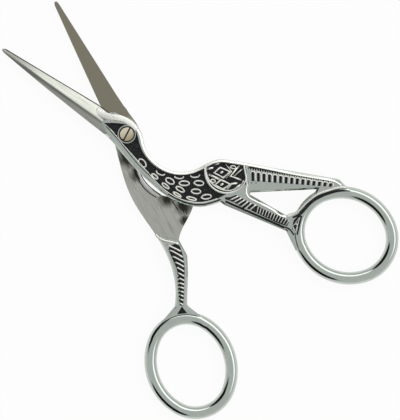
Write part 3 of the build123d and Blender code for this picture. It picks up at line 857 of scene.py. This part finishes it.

# Oxide left in hollows, and in one ribbon a painted dark reflection: thin lines, and ribbons with their width
# and the share of it at each point
oxideAndShadeLines = {
    "lines": [[(300.9, 218.6), (299.4, 225.0), (297.1, 234.8)],
              [(284.6, 226.9), (289.4, 229.2), (294.0, 235.0)],
              [(168.0, 193.4), (178.0, 199.4), (190.0, 203.6), (201.0, 204.6), (211.0, 202.8),
               (220.6, 199.4)],
              [(251.4, 182.8), (252.2, 182.8)],
              [(255.6, 182.8), (256.4, 182.8)]],
    "width": 0.40 * mm,
    "height": 0.02 * mm,
    "base": 3.44 * mm,
}
oxideAndShadeRibbons = [
    # beside the belly's edge
    {"line": [(106.0, 126.4), (117.2, 138.6), (128.0, 152.3), (138.3, 164.6), (151.0, 177.0),
              (160.0, 186.0)],
     "width": 0.20 * mm,
     "shares": None},
    # under the leg's bars
    {"line": [(225.0, 198.2), (233.0, 199.6), (241.0, 202.4), (252.0, 207.2), (268.0, 214.9),
              (280.0, 220.6), (288.0, 224.2)],
     "width": 1.72 * mm,
     "shares": [0.3, 0.7, 0.95, 1.0, 1.0, 0.95, 0.7]},
    # in the valley between ring and web: oxide in the groove, and a painted dark reflection beside the ring
    {"line": [(292.6, 217.6), (299.6, 214.4), (303.9, 210.0), (311.0, 202.2), (319.9, 196.6),
              (330.3, 192.6), (339.0, 190.8), (350.0, 190.9)],
     "width": 0.80 * mm,
     "shares": [0.6, 0.9, 1.0, 1.1, 1.1, 1.0, 0.8, 0.3]},
    # under the tail's ticks
    {"line": [(248.8, 167.9), (268.2, 170.9), (293.0, 174.9), (318.0, 179.2), (333.6, 182.4)],
     "width": 0.74 * mm,
     "shares": [1.0, 1.1, 1.0, 0.8, 0.5]},
    # in the gusset
    {"line": [(301.2, 215.6), (297.0, 222.0), (293.6, 230.0)],
     "width": 1.9 * mm,
     "shares": [0.4, 1.0, 0.5]},
]

# Painted shadow: a dark ring round the screw head, in the oxide black
screwSeatShadow = {"diameter": 15.2, "width": 0.30 * mm, "height": 0.03 * mm, "base": 3.59 * mm}
beads = bmesh.new()
addBeads(beads, oxideAndShadeLines["lines"], oxideAndShadeLines)
for ribbon in oxideAndShadeRibbons:
    addBeads(beads, [ribbon["line"]], dict(oxideAndShadeLines, width=ribbon["width"]), shares=ribbon["shares"])
seatShadowRing = ovalPoints(cameraView["pivotPixel"], screwSeatShadow["diameter"], screwSeatShadow["diameter"], 0)
addBead(beads, seatShadowRing, screwSeatShadow["width"], screwSeatShadow["height"], screwSeatShadow["base"],
        closed=True)
# These dark lines are oxide, with a painted shadow round the screw and a painted dark reflection in the
# valley
placeRelief(beads, "oxideAndShadeLines", oxideAndShade)

# Rear leg: the step where it comes to its full thickness, and slanted bars over a ribbon of oxide
rearRidges = {
    "step": [(155.4, 234.2), (159.9, 238.6), (164.0, 240.5), (170.7, 242.0), (178.4, 243.8)],
    "bars": [[(167.0, 244.8), (181.0, 251.3)], [(169.5, 249.8), (183.0, 257.2)],
             [(172.6, 256.2), (184.0, 262.2)], [(175.0, 262.0), (184.2, 266.8)],
             [(176.6, 267.3), (184.2, 271.5)], [(178.0, 272.9), (184.2, 276.2)],
             [(179.0, 278.3), (184.2, 280.6)], [(179.4, 282.9), (184.2, 284.6)],
             [(179.9, 287.1), (184.0, 288.4)], [(180.2, 291.1), (183.8, 292.4)],
             [(180.4, 295.1), (183.6, 296.4)], [(180.3, 299.2), (183.4, 300.5)],
             [(179.8, 303.2), (183.2, 304.6)]],
    "width": 0.60 * mm,
    "barWidth": 0.50 * mm,
    "height": 0.18 * mm,
    "base": 3.38 * mm,
    "oxideAndShade": [(173.0, 244.6), (174.6, 249.0), (177.8, 257.5), (180.2, 266.5), (181.5, 276.0), (181.8, 286.0),
              (181.8, 296.0), (181.4, 305.6)],
    "oxideWidth": 3.1 * mm,
    "oxideShares": [0.7, 1.0, 0.92, 0.72, 0.5, 0.38, 0.34, 0.3],
}
beads = bmesh.new()
addBeads(beads, [rearRidges["step"]], rearRidges)
addBeads(beads, rearRidges["bars"], dict(rearRidges, width=rearRidges["barWidth"]))
placeRelief(beads, "rearRidges", burnishedAndHighlit, side="rear")
beads = bmesh.new()
addBeads(beads, [rearRidges["oxideAndShade"]], dict(oxideAndShadeLines, width=rearRidges["oxideWidth"]),
         shares=rearRidges["oxideShares"])
placeRelief(beads, "rearLegOxide", oxideAndShade, side="rear")

# Lines scraped and stained into the rear half's inner flat beside the neck, too low to touch the front half
innerLines = {
    "bright": [[(136.6, 168.4), (139.6, 176.6), (144.6, 184.6), (151.4, 191.0), (159.4, 196.4)]],
    "dark": [[(138.6, 168.6), (141.4, 176.0), (146.4, 183.4), (152.8, 189.4), (160.6, 194.8)],
             [(134.4, 168.6), (137.4, 177.4), (142.4, 186.0), (149.4, 193.0), (156.0, 197.4)],
             [(176.4, 199.4), (180.6, 205.6), (184.4, 212.4)],
             [(181.4, 203.4), (184.6, 209.0), (187.0, 214.6)],
             [(172.4, 201.4), (177.6, 209.4)]],
    "width": 0.28 * mm,
    "height": 0.015 * mm,
    "base": 1.70 * mm,
}
beads = bmesh.new()
addBeads(beads, innerLines["bright"], innerLines)
placeRelief(beads, "innerFlatScrapes", burnishedAndHighlit, side="rear")
beads = bmesh.new()
addBeads(beads, innerLines["dark"], innerLines)
placeRelief(beads, "innerFlatStains", oxideAndShade, side="rear")

# Honed edge of the front blade, which looks dark from above: the line in oxide black over it is painted
# shade.
# Points are along and across its axis, in mm.
honedEdge = {
    "points": [(-38.9, 0.24), (-38.3, 0.38), (-25.94, 1.11), (-10.3, 2.07), (-7.1, 1.87), (-6.1, 2.6)],
    "width": 0.26 * mm,
    "height": 0.05 * mm,
    "base": 1.90 * mm,
}
beads = bmesh.new()
addBead(beads, [onFront(*point) for point in honedEdge["points"]], honedEdge["width"], honedEdge["height"],
        honedEdge["base"], corners=True)
placeRelief(beads, "honedEdge", oxideAndShade)

# Screw: the CAD node in its own metal
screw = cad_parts["pivot_screw"]
screw.data.materials.clear()
screw.data.materials.append(screwMetal)

bpy.context.scene.view_settings.view_transform = "Standard"
